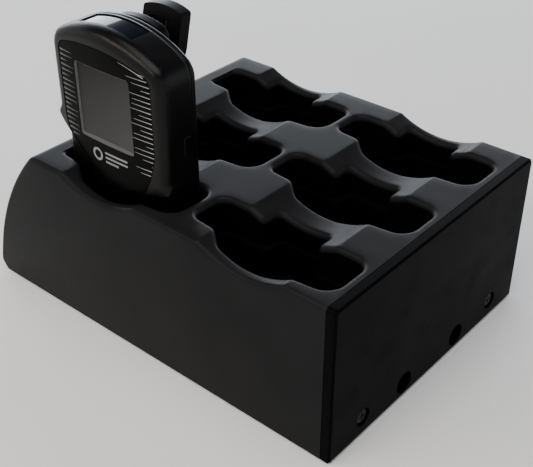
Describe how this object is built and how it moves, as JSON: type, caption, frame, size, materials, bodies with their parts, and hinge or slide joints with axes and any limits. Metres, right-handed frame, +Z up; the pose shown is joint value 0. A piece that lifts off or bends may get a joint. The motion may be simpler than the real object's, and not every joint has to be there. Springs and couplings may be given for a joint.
{
  "type": "handheld messaging unit in a charging base",
  "caption": "Desktop charging base with keyed wells in a scooped deck and a belt-clip handheld with a display docked in one of them.",
  "frame": {"origin": "middle of the base's footprint, on the surface its feet stand on", "axes": "+X towards the flat end plate, -Y towards the front face, +Z up"},
  "size_m": [0.206, 0.144, 0.1447],
  "materials": {
    "base_plastic": "satin, fine moulded grain",
    "well_plastic": "matte black",
    "gloss_housing": "gloss, lightly worn",
    "printed_lens": "semi-gloss with printed silver lines",
    "display": "pale grey liquid crystal",
    "smoked_window": "polished smoked blue",
    "clip_plastic": "satin",
    "rubber": "matte",
    "steel": "plated",
    "gold": "gold plated",
    "board": "solder mask",
    "components": "moulded packages",
    "nylon": "moulded nylon",
    "led": "clear lens",
    "foil": "wrapped cell",
    "ferrite": "ferrite with a copper winding"
  },
  "bodies": {
    "base": {"base_shell": "base_plastic", "end_plate": "base_plastic", "end_plate_screws": "steel", "bottom_plate": "base_plastic", "bottom_screws": "steel", "rubber_feet": "rubber", "main_board": "board", "board_spacers": "nylon", "board_studs": "steel", "contact_carriers": "nylon", "charge_regulators": "components", "dc_inlet": "nylon", "inlet_nut": "steel", "bay_cup_1": "well_plastic", "bay_cup_2": "well_plastic", "bay_cup_3": "well_plastic", "bay_cup_4": "well_plastic", "bay_cup_5": "well_plastic", "bay_cup_6": "well_plastic"},
    "handheld": {"front_housing": "gloss_housing", "rear_housing": "gloss_housing", "housing_seal": "rubber", "face_lens": "printed_lens", "lcd_glass": "display", "lcd_module": "nylon", "top_window": "smoked_window", "circuit_board": "board", "alert_leds": "led", "battery_cell": "foil", "vibration_motor": "steel", "sounder": "components", "antenna_coil": "ferrite", "key_switch": "components", "charge_pads": "gold", "housing_screws": "steel", "clip_bracket": "clip_plastic", "clip_pin": "steel", "clip_spring": "steel"},
    "read_key": {"read_key": "gloss_housing"},
    "clip_arm": {"clip_arm": "clip_plastic"},
    "bay_1_contacts": {"bay_1_pins": "gold"},
    "bay_2_contacts": {"bay_2_pins": "gold"},
    "bay_3_contacts": {"bay_3_pins": "gold"},
    "bay_4_contacts": {"bay_4_pins": "gold"},
    "bay_5_contacts": {"bay_5_pins": "gold"},
    "bay_6_contacts": {"bay_6_pins": "gold"}
  },
  "joints": [
    {"name": "handheld_lift", "type": "slide", "parent": "base", "child": "handheld", "axis": [0, 0, 1], "range_m": [0, 0.12]},
    {"name": "read_key_press", "type": "slide", "parent": "handheld", "child": "read_key", "axis": [-1, 0, 0], "range_m": [0, 0.0008], "stiffness_N_per_m": 800},
    {"name": "clip_open", "type": "hinge", "parent": "handheld", "child": "clip_arm", "pos_m": [-0.0228, -0.0355, 0.121], "axis": [1, 0, 0], "range_deg": [0, 6], "stiffness_Nm_per_rad": 0.4, "springref_deg": -17.19},
    {"name": "bay_1_pins_press", "type": "slide", "parent": "base", "child": "bay_1_contacts", "axis": [0, 0, -1], "range_m": [0, 0.0012], "stiffness_N_per_m": 300},
    {"name": "bay_2_pins_press", "type": "slide", "parent": "base", "child": "bay_2_contacts", "axis": [0, 0, -1], "range_m": [0, 0.0012], "stiffness_N_per_m": 300},
    {"name": "bay_3_pins_press", "type": "slide", "parent": "base", "child": "bay_3_contacts", "axis": [0, 0, -1], "range_m": [0, 0.0012], "stiffness_N_per_m": 300},
    {"name": "bay_4_pins_press", "type": "slide", "parent": "base", "child": "bay_4_contacts", "axis": [0, 0, -1], "range_m": [0, 0.0012], "stiffness_N_per_m": 300},
    {"name": "bay_5_pins_press", "type": "slide", "parent": "base", "child": "bay_5_contacts", "axis": [0, 0, -1], "range_m": [0, 0.0012], "stiffness_N_per_m": 300},
    {"name": "bay_6_pins_press", "type": "slide", "parent": "base", "child": "bay_6_contacts", "axis": [0, 0, -1], "range_m": [0, 0.0012], "stiffness_N_per_m": 300}
  ]
}
